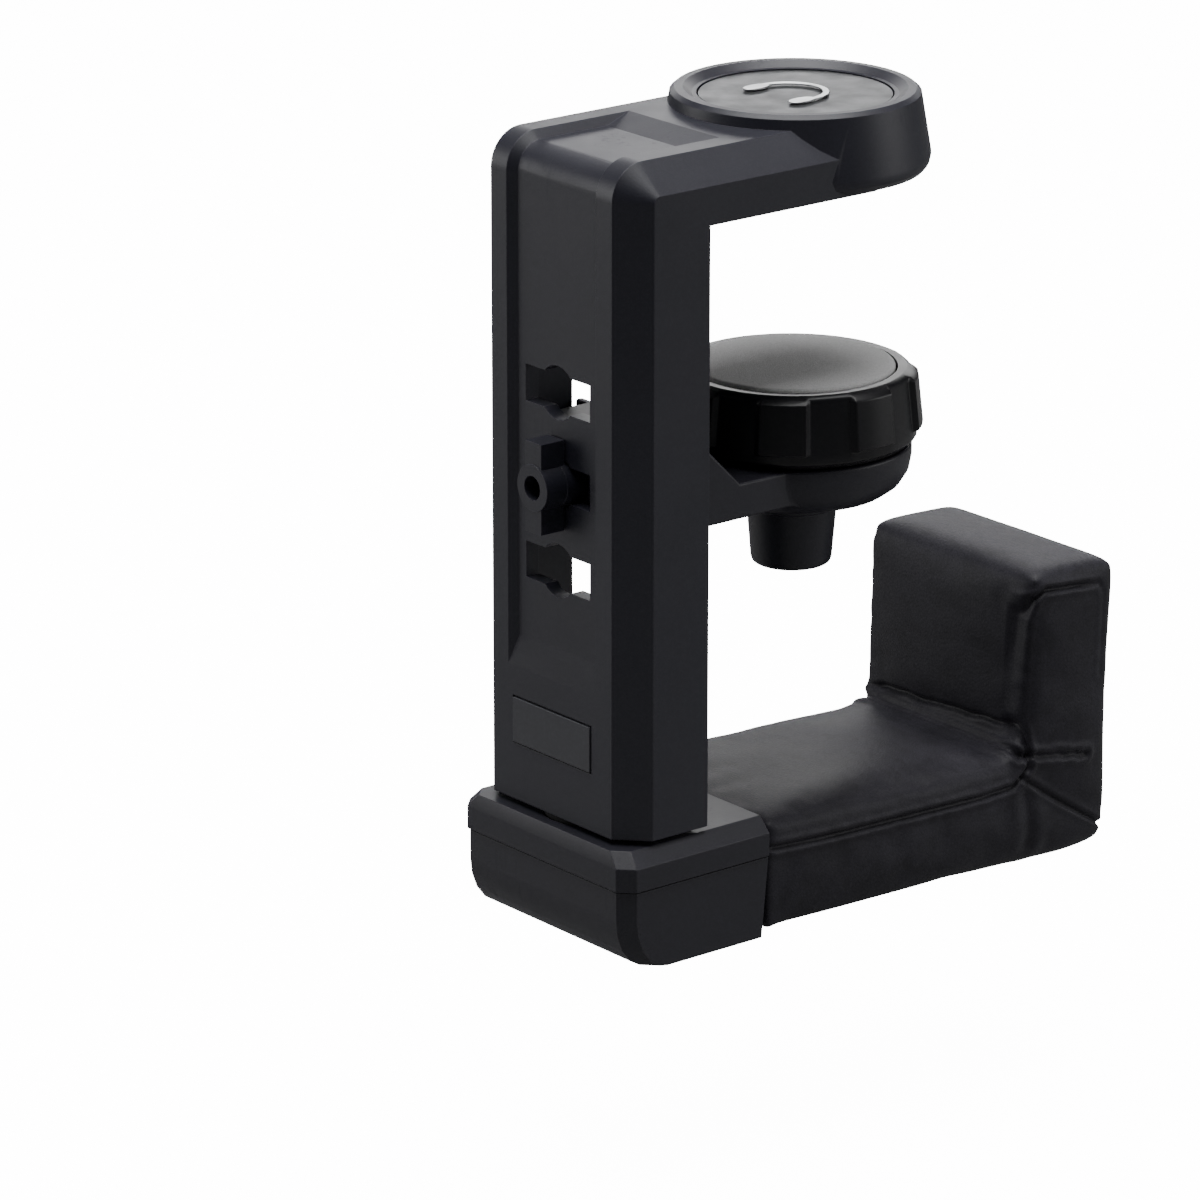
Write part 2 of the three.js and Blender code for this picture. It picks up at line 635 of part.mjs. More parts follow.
const socketHalf = { y: CORE_WIDTH / 2 + CLEARANCE, z: CORE_THICKNESS / 2 + CLEARANCE };
const Z_CORE = Z_SEAT_TOP - SEAT_THICKNESS / 2;
const X_TONGUE = X_PIVOT + 12;
const socket = box(
  [X_TONGUE - CLEARANCE, -socketHalf.y, Z_CORE - socketHalf.z],
  [X_COLLAR_FRONT + 5, socketHalf.y, Z_CORE + socketHalf.z],
);
const collarBore = disc(6, Z_COLLAR_BOTTOM - 5, Z_COLLAR_TOP + 5, X_PIVOT, 0);
const nutWell = disc(7.6, Z_COLLAR_BOTTOM - 5, Z_COLLAR_BOTTOM + 9, X_PIVOT, 0);
const washerWell = disc(9.9, Z_COLLAR_TOP - 1.1, Z_COLLAR_TOP + 5, X_PIVOT, 0);
const screwPlaces = [
  [X_PIVOT, 20],
  [X_PIVOT, -20],
  [X_COLLAR_FRONT - 6, 20.5],
  [X_COLLAR_FRONT - 6, -20.5],
];
const Z_SCREW_HEAD = Z_COLLAR_BOTTOM + 6;
const Z_SCREW_TIP = Z_SEAM + 6;

function collarTop() {
  const upper = stacked([
    collarPlan(Z_SEAM + CLEARANCE / 2),
    collarPlan(Z_COLLAR_TOP - COLLAR.edge),
    collarPlan(Z_COLLAR_TOP, COLLAR.edge, 0.8),
  ]);
  const holes = screwPlaces.map(([x, y]) => disc(1.3, Z_SEAM - 1, Z_SCREW_TIP + 0.5, x, y, 16));
  return cut(upper, socket, collarBore, washerWell, ...holes);
}

// The lower half steps in a little at the seam. Its back curves in towards the underside,
// and its front leans back.
function collarBottom() {
  const step = 0.4;
  const lean = 1.6;
  const curve = [1, 0.97, 0.85, 0.6, 0.3, 0].map((share) => {
    const inset = KEEL_RUN * (1 - Math.sqrt(1 - share * share));
    const height = Z_COLLAR_BOTTOM + KEEL_DEPTH * (1 - share);
    return collarPlan(height, step, step + inset, lean * (0.35 + 0.65 * share));
  });
  const lower = stacked([...curve, collarPlan(Z_SEAM - CLEARANCE / 2, step, step)]);
  const shanks = screwPlaces.map(([x, y]) => disc(1.9, Z_COLLAR_BOTTOM - 1, Z_SEAM + 1, x, y, 20));
  const heads = screwPlaces.map(([x, y]) => disc(3.4, Z_COLLAR_BOTTOM - 1, Z_SCREW_HEAD, x, y, 24));
  return cut(lower, socket, collarBore, nutWell, ...shanks, ...heads);
}

piece("collar_top", collarTop(), darkShell);
piece("collar_bottom", collarBottom(), darkShell);

screwPlaces.forEach(([x, y], index) => {
  const head = disc(3, Z_SCREW_HEAD - 2.4, Z_SCREW_HEAD - CLEARANCE, x, y, 20);
  const shank = disc(1, Z_SCREW_HEAD - 1, Z_SCREW_TIP, x, y, 16);
  const drive = box([x - 1.8, y - 0.4, Z_SCREW_HEAD - 4], [x + 1.8, y + 0.4, Z_SCREW_HEAD - 1.7]);
  piece(`collar_screw_${index + 1}`, cut(join(head, shank), drive), blackSteel);
});

// ---- pivot: a shoulder bolt through the foot, with washers, a bush and a nut ----

const boltHeadLow = Z_FOOT + FOOT_THICKNESS + CLEARANCE;
const Z_NUT_TOP = Z_COLLAR_BOTTOM + 7;
const boltEnd = Z_COLLAR_BOTTOM + 1.5;

// A hexagonal prism round the pivot, with two flats facing along X.
function hexagon(low, high) {
  const corner = BOLT_FLATS / Math.sqrt(3);
  return disc(corner, low, high, X_PIVOT, 0, 6);
}

const bolt = join(
  disc(BOLT_RADIUS, boltEnd, boltHeadLow + 1, X_PIVOT, 0, ROUND_SMALL),
  hexagon(boltHeadLow, boltHeadLow + 4),
);
piece("pivot_bolt", bolt, steel);

const nut = cut(
  hexagon(Z_NUT_TOP - 5, Z_NUT_TOP - CLEARANCE),
  disc(BOLT_RADIUS + CLEARANCE, Z_NUT_TOP - 9, Z_NUT_TOP + 1, X_PIVOT, 0, ROUND_SMALL),
);
piece("pivot_nut", nut, steel);

const washerLow = Z_NUT_TOP;
piece("nut_washer", ring(BOLT_RADIUS + CLEARANCE, 7, washerLow, washerLow + 1.6, X_PIVOT), steel);

const frictionTop = Z_FOOT - CLEARANCE;
const friction = ring(BOLT_RADIUS + CLEARANCE, 9.5, Z_COLLAR_TOP - 0.8, frictionTop, X_PIVOT, 0, 32);
piece("friction_washer", friction, rubber);

const bush = ring(
  BOLT_RADIUS + CLEARANCE,
  6 - CLEARANCE,
  Z_COLLAR_BOTTOM + 9 + CLEARANCE,
  Z_COLLAR_TOP - 1.1 - CLEARANCE,
  X_PIVOT,
);
piece("pivot_bush", bush, brass);

// ---- padded arm: a stiff core, two foam blocks and a sewn cover ----

const coverFront = X_COLLAR_FRONT + CLEARANCE;
const X_UPRIGHT_CORE = X_UPRIGHT + UPRIGHT_THICKNESS / 2;
const halfCore = CORE_THICKNESS / 2;
const coreProfile = [
  [X_TONGUE, Z_CORE - halfCore],
  [X_UPRIGHT_CORE + halfCore, Z_CORE - halfCore],
  [X_UPRIGHT_CORE + halfCore, Z_UPRIGHT_TOP - 9],
  [X_UPRIGHT_CORE - halfCore, Z_UPRIGHT_TOP - 9],
  [X_UPRIGHT_CORE - halfCore, Z_CORE + halfCore],
  [X_TONGUE, Z_CORE + halfCore],
];
piece("arm_core", across(coreProfile, -CORE_WIDTH / 2, CORE_WIDTH / 2), blackSteel);

// Room for the core inside the foam.
const coreRoom = across(
  [
    [X_TONGUE - 5, Z_CORE - halfCore - CLEARANCE],
    [X_UPRIGHT_CORE + halfCore + CLEARANCE, Z_CORE - halfCore - CLEARANCE],
    [X_UPRIGHT_CORE + halfCore + CLEARANCE, Z_UPRIGHT_TOP - 9 + CLEARANCE],
    [X_UPRIGHT_CORE - halfCore - CLEARANCE, Z_UPRIGHT_TOP - 9 + CLEARANCE],
    [X_UPRIGHT_CORE - halfCore - CLEARANCE, Z_CORE + halfCore + CLEARANCE],
    [X_TONGUE - 5, Z_CORE + halfCore + CLEARANCE],
  ],
  -CORE_WIDTH / 2 - CLEARANCE,
  CORE_WIDTH / 2 + CLEARANCE,
);

// Side view of the padded arm, inset all round except at the collar.
function armProfile(inset, start) {
  const radius = 4 - inset / 2;
  const low = Z_SEAT_BOTTOM + inset;
  const high = Z_UPRIGHT_TOP - inset;
  const end = X_ARM_END - inset;
  const inner = X_UPRIGHT + inset;
  const seat = Z_SEAT_TOP - inset;
  const shape = new THREE.Shape();
  shape.moveTo(start, low);
  shape.lineTo(end - radius, low);
  shape.absarc(end - radius, low + radius, radius, -Math.PI / 2, 0, false);
  shape.lineTo(end, high - radius);
  shape.absarc(end - radius, high - radius, radius, 0, Math.PI / 2, false);
  shape.lineTo(inner + radius, high);
  shape.absarc(inner + radius, high - radius, radius, Math.PI / 2, Math.PI, false);
  shape.lineTo(inner, seat);
  shape.lineTo(start, seat);
  return shape;
}

const armHalf = ARM_WIDTH / 2;
const foamInset = COVER_WALL + CLEARANCE;
const foamHalf = armHalf - foamInset;
const foamWhole = across(armProfile(foamInset, coverFront), -foamHalf, foamHalf, 1.5);
const foamSplit = X_UPRIGHT + foamInset;
const seatRegion = box([coverFront + 2, -50, Z_SEAT_BOTTOM - 5], [foamSplit - CLEARANCE, 50, Z_SEAT_TOP + 5]);
const uprightRegion = box([foamSplit, -50, Z_SEAT_BOTTOM - 5], [X_ARM_END + 5, 50, Z_UPRIGHT_TOP + 5]);
const foamHollowed = cut(foamWhole, coreRoom);
// Each block is slit to the side, as foam is when it is pushed over a core.
piece("foam_seat", foamHollowed.intersect(seatRegion), foam);
piece("foam_upright", foamHollowed.intersect(uprightRegion), foam);

const coverOuter = across(armProfile(0, coverFront), -armHalf, armHalf, 3);
const coverInner = across(armProfile(COVER_WALL, coverFront - 10), -armHalf + COVER_WALL, armHalf - COVER_WALL, 1.5);
piece("leather_cover", cut(coverOuter, coverInner), leather);

export default hook;
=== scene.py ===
"""Looks for the clamp-on headphone hook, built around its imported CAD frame.

Metres, in the frame's own axes: +Z up along the clamp axis, +X from the column towards it.
"""

import json
import math

import bmesh
import bpy
import numpy as np
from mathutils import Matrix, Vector, noise


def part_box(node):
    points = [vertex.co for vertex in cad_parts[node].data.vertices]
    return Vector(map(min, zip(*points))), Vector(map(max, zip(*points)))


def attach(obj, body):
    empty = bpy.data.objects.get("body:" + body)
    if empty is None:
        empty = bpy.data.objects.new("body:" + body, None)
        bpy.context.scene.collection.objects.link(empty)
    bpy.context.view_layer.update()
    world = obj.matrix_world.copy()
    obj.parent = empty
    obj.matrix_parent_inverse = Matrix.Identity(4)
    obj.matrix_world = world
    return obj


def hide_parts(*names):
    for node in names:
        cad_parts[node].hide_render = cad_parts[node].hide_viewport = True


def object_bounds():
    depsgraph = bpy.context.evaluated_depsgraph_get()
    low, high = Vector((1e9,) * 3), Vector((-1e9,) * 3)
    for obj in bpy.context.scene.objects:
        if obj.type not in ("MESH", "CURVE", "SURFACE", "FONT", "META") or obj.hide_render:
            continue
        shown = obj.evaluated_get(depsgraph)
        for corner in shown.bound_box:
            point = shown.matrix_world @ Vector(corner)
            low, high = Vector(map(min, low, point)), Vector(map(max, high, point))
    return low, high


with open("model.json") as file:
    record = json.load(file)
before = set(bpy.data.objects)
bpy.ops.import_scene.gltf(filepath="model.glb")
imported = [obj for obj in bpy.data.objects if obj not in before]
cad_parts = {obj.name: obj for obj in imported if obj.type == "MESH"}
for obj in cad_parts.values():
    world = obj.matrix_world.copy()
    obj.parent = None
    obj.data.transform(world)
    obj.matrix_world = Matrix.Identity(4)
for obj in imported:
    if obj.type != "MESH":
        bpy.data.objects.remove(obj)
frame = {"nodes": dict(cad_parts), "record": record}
NODES = frame["nodes"]
BODY = {
    node: body
    for body, members in frame["record"]["behaviour"]["bodies"].items()
    for node in members
}
CAD_LOW, CAD_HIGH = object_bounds()
MM = 0.001


# ---- materials ----


class Shader:
    """A node material with one Principled shader and short calls for its nodes."""

    def __init__(self, name, **sockets):
        self.material = bpy.data.materials.new(name)
        self.material.use_nodes = True
        self.tree = self.material.node_tree
        self.bsdf = self.tree.nodes["Principled BSDF"]
        for socket, value in sockets.items():
            self.bsdf.inputs[socket.replace("_", " ")].default_value = value
        self.place = self.add("ShaderNodeTexCoord").outputs["Object"]

    def add(self, kind, **settings):
        node = self.tree.nodes.new(kind)
        for key, value in settings.items():
            setattr(node, key, value)
        return node

    def link(self, source, target):
        self.tree.links.new(source, target)

    def set(self, socket, source):
        self.link(source, self.bsdf.inputs[socket])

    def stretch(self, scale):
        """Object coordinates stretched by a scale along each axis."""
        node = self.add("ShaderNodeMapping")
        node.inputs["Scale"].default_value = scale
        self.link(self.place, node.inputs["Vector"])
        return node.outputs["Vector"]

    def noise(self, scale, detail=3, rough=0.5, vector=None, distortion=0):
        node = self.add("ShaderNodeTexNoise")
        node.inputs["Scale"].default_value = scale
        node.inputs["Detail"].default_value = detail
        node.inputs["Roughness"].default_value = rough
        node.inputs["Distortion"].default_value = distortion
        self.link(vector or self.place, node.inputs["Vector"])
        return node.outputs["Fac"]

    def cells(self, scale, feature="F1"):
        node = self.add("ShaderNodeTexVoronoi", feature=feature)
        node.inputs["Scale"].default_value = scale
        self.link(self.place, node.inputs["Vector"])
        return node.outputs["Distance"]

    def ramp(self, source, low, high, to_low=0.0, to_high=1.0):
        """Maps source from low..high to to_low..to_high, held at both ends."""
        node = self.add("ShaderNodeMapRange")
        for socket, value in zip(("From Min", "From Max", "To Min", "To Max"), (low, high, to_low, to_high)):
            node.inputs[socket].default_value = value
        self.link(source, node.inputs["Value"])
        return node.outputs["Result"]

    def math(self, operation, a, b):
        node = self.add("ShaderNodeMath", operation=operation)
        for slot, value in zip(node.inputs, (a, b)):
            if isinstance(value, (int, float)):
                slot.default_value = value
            else:
                self.link(value, slot)
        return node.outputs["Value"]

    def mix(self, factor, a, b):
        """Colour a where factor is 0 and b where it is 1."""
        node = self.add("ShaderNodeMix", data_type="RGBA")
        self.link(factor, node.inputs["Factor"])
        for slot, value in ((node.inputs["A"], a), (node.inputs["B"], b)):
            if isinstance(value, tuple):
                slot.default_value = (*value, 1)
            else:
                self.link(value, slot)
        return node.outputs["Result"]

    def bump(self, height, strength, distance, before=None):
        node = self.add("ShaderNodeBump")
        node.inputs["Strength"].default_value = strength
        node.inputs["Distance"].default_value = distance
        self.link(height, node.inputs["Height"])
        if before is not None:
            self.link(before, node.inputs["Normal"])
        return node.outputs["Normal"]

    def edges(self, radius):
        """1 along sharp outer and inner edges, 0 on open faces."""
        rounded = self.add("ShaderNodeBevel", samples=4)
        rounded.inputs["Radius"].default_value = radius
        plain = self.add("ShaderNodeNewGeometry")
        dot = self.add("ShaderNodeVectorMath", operation="DOT_PRODUCT")
        self.link(rounded.outputs["Normal"], dot.inputs[0])
        self.link(plain.outputs["Normal"], dot.inputs[1])
        return self.ramp(dot.outputs["Value"], 0.995, 0.9)


def moulded(name, colour, roughness, grain=0.25, edge_light=1.5, grain_size=0.35, spec=0.5):
    """Moulded plastic: spark texture, slightly polished edges, faint handling marks."""
    s = Shader(name, Specular_IOR_Level=spec)
    spark = s.noise(1 / (grain_size * MM), 2, 0.6)
    cloud = s.noise(45, 4, 0.6)
    scuff = s.noise(900, 3, 0.7, s.stretch((1, 1, 0.12)))
    scuffs = s.ramp(s.math("MULTIPLY", scuff, s.noise(60, 2)), 0.34, 0.44)
    worn = s.math("MULTIPLY", s.edges(0.5 * MM), s.ramp(s.noise(260, 3), 0.35, 0.65))
    lighter = tuple(min(1, c * edge_light + 0.004) for c in colour)
    darker = tuple(c * 0.86 for c in colour)
    tint = s.mix(s.ramp(cloud, 0.3, 0.7), darker, colour)
    tint = s.mix(s.math("MULTIPLY", s.ramp(spark, 0.45, 0.75), 0.35), tint, lighter)
    s.set("Base Color", s.mix(s.math("MULTIPLY", worn, 0.8), tint, lighter))
    rough = s.ramp(cloud, 0.25, 0.75, roughness - 0.05, roughness + 0.06)
    rough = s.math("SUBTRACT", rough, s.math("MULTIPLY", worn, 0.08))
    s.set("Roughness", s.math("ADD", rough, s.math("MULTIPLY", scuffs, 0.08)))
    normal = s.bump(cloud, 0.12, 0.3 * MM)
    s.set("Normal", s.bump(spark, grain, 0.04 * MM, normal))
    return s.material


def brushed(name, colour, roughness, stretch=(1, 1, 0.03), scale=5000, strength=0.12, tarnish=0.6):
    """Metal with fine lines along one direction and uneven tarnish."""
    s = Shader(name, Metallic=1.0)
    lines = s.noise(scale, 2, 0.5, s.stretch(stretch))
    cloud = s.noise(120, 4, 0.6)
    dark = tuple(c * tarnish for c in colour)
    tint = s.mix(s.ramp(cloud, 0.35, 0.7), colour, dark)
    s.set("Base Color", s.mix(s.ramp(lines, 0.3, 0.7, 0, 0.35), tint, dark))
    s.set("Roughness", s.ramp(cloud, 0.25, 0.75, roughness - 0.06, roughness + 0.1))
    s.set("Normal", s.bump(lines, strength, 0.03 * MM))
    return s.material


def dusty_rubber(name, colour, roughness=0.85, pore=0.25, strength=0.4):
    """Matt rubber or closed-cell foam with light dust flecks and fine pores whose insides are darkened with
    painted shade.
    """
    s = Shader(name, Specular_IOR_Level=0.3)
    pores = s.cells(1 / (pore * MM))
    grit = s.noise(2400, 3, 0.7)
    cloud = s.noise(70, 4, 0.6)
    light = tuple(c * 1.28 for c in colour)
    # The darker tone is painted shade, used inside the pores.
    dark = tuple(c * 0.74 for c in colour)
    tint = s.mix(s.ramp(cloud, 0.3, 0.7), tuple(c * 0.92 for c in colour), colour)
    tint = s.mix(s.ramp(grit, 0.35, 0.7, 0, 0.7), tint, light)
    # Painted shade: each pore's centre, where its bump is lowest, is darkened.
    s.set("Base Color", s.mix(s.ramp(pores, 0.35, 0.05, 0, 0.6), tint, dark))
    s.set("Roughness", s.ramp(cloud, 0.3, 0.7, roughness - 0.06, roughness + 0.06))
    s.set("Normal", s.bump(grit, strength, 0.06 * MM, s.bump(pores, strength, 0.08 * MM)))
    return s.material


def leather(name, colour):
    """Smooth synthetic leather: pebble grain, creases, a soft sheen and rubbed high spots; the grain's
    valleys and the creases are darkened with painted shade.
    """
    s = Shader(name, Specular_IOR_Level=0.24, Sheen_Weight=0.03, Sheen_Roughness=0.4)
    warp = s.noise(500, 2)
    pebbles = s.cells(1 / (0.75 * MM), "DISTANCE_TO_EDGE")
    fine = s.noise(3200, 3, 0.6)
    creases = s.noise(240, 5, 0.65, s.stretch((1, 0.55, 1)), 0.6)
    cloud = s.noise(38, 4, 0.6)
    light = tuple(c * 1.7 + 0.002 for c in colour)
    # The darker tone is painted shade, laid into the creases and the grain's valleys.
    dark = tuple(c * 0.6 for c in colour)
    tint = s.mix(s.ramp(cloud, 0.3, 0.72), colour, light)
    # Painted shade: darker where the crease bump is low.
    tint = s.mix(s.ramp(creases, 0.5, 0.42, 0, 0.35), tint, dark)
    # Painted shade: darker in the valleys between the pebbles, where their bump is low.
    s.set("Base Color", s.mix(s.ramp(pebbles, 0.1, 0.0, 0, 0.6), tint, dark))
    rough = s.ramp(cloud, 0.25, 0.75, 0.47, 0.56)
    s.set("Roughness", s.math("ADD", rough, s.ramp(fine, 0.3, 0.7, -0.03, 0.05)))
    height = s.math("ADD", s.ramp(pebbles, 0.0, 0.22), s.math("MULTIPLY", warp, 0.4))
    normal = s.bump(creases, 0.14, 0.6 * MM)
    normal = s.bump(height, 0.16, 0.09 * MM, normal)
    s.set("Normal", s.bump(fine, 0.12, 0.04 * MM, normal))
    return s.material


PLASTIC = moulded("satin_shell", (0.0165, 0.0165, 0.026), 0.44)
DARK_PLASTIC = moulded("satin_dark_shell", (0.0175, 0.017, 0.025), 0.47, 0.2, spec=0.45)
KNOB_PLASTIC = moulded("gloss_knob", (0.0045, 0.0043, 0.0062), 0.34, 0.1, 1.3, 0.5, spec=0.38)
PAD_FOAM = dusty_rubber("grey_pad", (0.42, 0.42, 0.422), 0.9)
RUBBER = dusty_rubber("black_rubber", (0.018, 0.018, 0.019), 0.8, 0.4, 0.25)
LEATHER = leather("black_leather", (0.017, 0.016, 0.0215))
FOAM = dusty_rubber("open_foam", (0.045, 0.045, 0.048), 0.95, 0.6, 0.8)
STEEL = brushed("zinc_steel", (0.55, 0.56, 0.57), 0.34, (0.05, 0.05, 1))
BLACK_STEEL = brushed("black_steel", (0.05, 0.05, 0.052), 0.42, (1, 1, 0.1), 3000)
BRASS = brushed("turned_brass", (0.62, 0.44, 0.17), 0.32, (0.05, 0.05, 1))
BADGE = brushed("brushed_badge", (0.115, 0.118, 0.124), 0.42, (1, 0.03, 1), 6000, 0.2, 0.7)
SILVER = brushed("bright_line", (0.72, 0.73, 0.74), 0.3, (1, 0.1, 1), 3000, 0.05, 0.85)
LABEL = moulded("label_film", (0.042, 0.043, 0.052), 0.4, 0.06, 1.3, 0.6)

SLOT_MATERIAL = {
    "shell": PLASTIC,
    "dark_shell": DARK_PLASTIC,
    "knob_plastic": KNOB_PLASTIC,
    "pad_foam": PAD_FOAM,
    "rubber": RUBBER,
    "leather": LEATHER,
    "foam": FOAM,
    "steel": STEEL,
    "black_steel": BLACK_STEEL,
    "brass": BRASS,
    "badge_metal": BADGE,
    "silver_line": SILVER,
    "label_film": LABEL,
}
SLOT = {part["node"]: part["material_slot"] for part in frame["record"]["subparts"]}


# ---- mesh helpers ----

SHARP_ANGLE = math.radians(35)  # edges steeper than this are shaded sharp
BEVEL_ANGLE = math.radians(24)  # edges steeper than this are rounded
FLAT_AREA = 180 * MM * MM  # faces larger than this are shaded flat


def new_object(name, mesh, material):
    piece = bpy.data.objects.new(name, mesh)
    bpy.context.scene.collection.objects.link(piece)
    piece.data.materials.clear()
    piece.data.materials.append(material)
    return piece


def apply_modifiers(piece):
    """Writes the modified shape into the piece's own mesh."""
    graph = bpy.context.evaluated_depsgraph_get()
    done = bpy.data.meshes.new_from_object(piece.evaluated_get(graph))
    piece.modifiers.clear()
    old, piece.data = piece.data, done
    bpy.data.meshes.remove(old)
    return piece


def add_modifier(piece, kind, **settings):
    modifier = piece.modifiers.new(kind.lower(), kind)
    for key, value in settings.items():
        setattr(modifier, key, value)
    return modifier


def shade(piece):
    """Smooth shading in which large flats stay flat between their rounded edges."""
    piece.data.shade_smooth()
    piece.data.set_sharp_from_angle(angle=SHARP_ANGLE)
    add_modifier(piece, "WEIGHTED_NORMAL", mode="FACE_AREA", weight=80, keep_sharp=True)
    apply_modifiers(piece)
    mesh = piece.data
    directions = [corner.vector.copy() for corner in mesh.corner_normals]
    for face in mesh.polygons:
        if face.area > FLAT_AREA:
            for index in face.loop_indices:
                directions[index] = face.normal.copy()
    mesh.normals_split_custom_set(directions)


def refined(node, name, bevel_mm, segments=2, squeeze_mm=0):
    """A piece that stands for a CAD node: its shape, welded, with its edges rounded.

    squeeze_mm draws it in on all sides, for foam that its cover presses together.
    """
    mesh = NODES[node].data.copy()
    bm = bmesh.new()
    bm.from_mesh(mesh)
    bmesh.ops.remove_doubles(bm, verts=bm.verts, dist=0.002 * MM)
    bmesh.ops.dissolve_limit(bm, angle_limit=math.radians(0.6), verts=bm.verts, edges=bm.edges)
    if squeeze_mm:
        low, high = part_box(node)
        for vert in bm.verts:
            for axis in range(3):
                centre, half = (low[axis] + high[axis]) / 2, (high[axis] - low[axis]) / 2
                vert.co[axis] = centre + (vert.co[axis] - centre) * (1 - squeeze_mm * MM / half)
    bm.to_mesh(mesh)
    bm.free()
    slot = SLOT[node]
    piece = new_object(name, mesh, SLOT_MATERIAL[slot])
    if bevel_mm:
        add_modifier(
            piece, "BEVEL", width=bevel_mm * MM, segments=segments, limit_method="ANGLE",
            angle_limit=BEVEL_ANGLE, harden_normals=False, use_clamp_overlap=True,
        )
        apply_modifiers(piece)
    shade(piece)
    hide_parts(node)
    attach(piece, BODY[node])


# ---- rigid pieces ----

refined("c_frame", "frame_shell", 0.7, 3)
refined("badge_plate", "badge_disc", 0.15)
refined("badge_symbol", "badge_headphone_mark", 0.06, 1)
refined("upper_jaw_pad", "upper_jaw_rubber", 0.3)
refined("back_label", "blank_label", 0.12)
refined("jaw_body", "jaw_bracket", 0.6, 3)
refined("bayonet_key", "locking_key", 0.45, 3)
refined("key_screw", "locking_key_screw", 0.15)
refined("screw_sleeve", "tapered_sleeve", 0.25)
refined("thread_insert", "brass_insert", 0.2)
refined("pressure_pad", "pressure_pad_foam", 0.3, 3)
refined("pad_disc", "pad_backing_disc", 0.3)
refined("pad_screw", "pad_fixing_screw", 0.2)
refined("knob_body", "knob_grip", 0.35, 3)
refined("clamp_screw", "clamp_thread", 0)
refined("collar_top", "collar_upper_half", 0.55, 3)
refined("collar_bottom", "collar_lower_half", 0.6, 3)
for index in (1, 2, 3, 4):
    refined(f"collar_screw_{index}", f"collar_fixing_{index}", 0.15)
refined("pivot_bolt", "pivot_shoulder_bolt", 0.3)
refined("pivot_nut", "pivot_lock_nut", 0.3)
refined("nut_washer", "steel_washer", 0.15)
refined("friction_washer", "rubber_washer", 0.2)
refined("pivot_bush", "brass_bush", 0.15)
refined("arm_core", "steel_core", 0.4)
FOAM_SQUEEZE_MM = 1.6
refined("foam_seat", "seat_foam_block", 0.3, squeeze_mm=FOAM_SQUEEZE_MM)
refined("foam_upright", "upright_foam_block", 0.3, squeeze_mm=FOAM_SQUEEZE_MM)


# ---- padded arm: an inflated, sewn cover ----

SEAT_THICKNESS = 25 * MM
UPRIGHT_THICKNESS = 23.9 * MM
PAD_FULL = 0.6 * MM  # the stuffed cover bulges this much past its CAD solid's outer faces
PAD_VOXEL = 1.7 * MM
PAD_CAP = 1.5 * MM  # furthest any point may swell
PAD_DROOP = 0.028  # the padded arm hangs a little low: slope of its far end
UNDERSIDE_GIVE = 0.3  # share of the swelling left on the underside, which is pulled flat
CLOTH_STEPS = 18
PAD_LOW, PAD_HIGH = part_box("leather_cover")
PAD_INNER = PAD_HIGH.x - UPRIGHT_THICKNESS
PAD_SEAT = PAD_LOW.z + SEAT_THICKNESS

# Seams and creases on the arm's sides: points of (x, z) and where they are measured from.
SIDE_SEAM = [
    (PAD_HIGH.x - 3.0 * MM, PAD_HIGH.z - 24 * MM),
    (PAD_HIGH.x - 3.0 * MM, PAD_HIGH.z - 6.4 * MM),
    (PAD_HIGH.x - 4.4 * MM, PAD_HIGH.z - 3.8 * MM),
    (PAD_HIGH.x - 9 * MM, PAD_HIGH.z - 3.4 * MM),
    (PAD_INNER + 5 * MM, PAD_HIGH.z - 2.8 * MM),
    (PAD_INNER + 2.8 * MM, PAD_HIGH.z - 4.6 * MM),
    (PAD_INNER + 2.8 * MM, PAD_HIGH.z - 10 * MM),
    (PAD_INNER + 2.3 * MM, PAD_SEAT + 14 * MM),
    (PAD_INNER + 2.1 * MM, PAD_SEAT + 5 * MM),
    (PAD_INNER + 1.2 * MM, PAD_SEAT - 3 * MM),
    (PAD_INNER - 3 * MM, PAD_SEAT - 6.4 * MM),
    (PAD_INNER - 12 * MM, PAD_SEAT - 7 * MM),
    (PAD_LOW.x + 20 * MM, PAD_SEAT - 7.1 * MM),
    (PAD_LOW.x - 1 * MM, PAD_SEAT - 6.6 * MM),
]
MITRE_SEAM = [
    (PAD_INNER - 0.4 * MM, PAD_SEAT - 5 * MM),
    (PAD_INNER + 10 * MM, PAD_SEAT - 12 * MM),
    (PAD_HIGH.x + 1 * MM, PAD_LOW.z + 4 * MM),
]
CORNER_CREASE = [
    (PAD_INNER - 1 * MM, PAD_SEAT - 0.2 * MM),
    (PAD_INNER + 8 * MM, PAD_SEAT - 1.2 * MM),
    (PAD_INNER + 17 * MM, PAD_SEAT - 2.6 * MM),
]
LOWER_FOLD = [
    (PAD_INNER + 0.5 * MM, PAD_SEAT - 9 * MM),
    (PAD_INNER + 1.5 * MM, PAD_LOW.z + 5 * MM),
]


def distance_to(points, line):
    """Shortest distance from each 2-D point to a line through several points."""
    best = np.full(len(points), 1.0)
    for a, b in zip(line, line[1:]):
        a, b = np.array(a), np.array(b)
        along = np.clip(((points - a) @ (b - a)) / ((b - a) @ (b - a)), 0, 1)
        best = np.minimum(best, np.linalg.norm(points - a - along[:, None] * (b - a), axis=1))
    return best


def points_of(mesh, field="co"):
    values = np.zeros(len(mesh.vertices) * 3)
    mesh.vertices.foreach_get(field, values)
    return values.reshape(-1, 3)


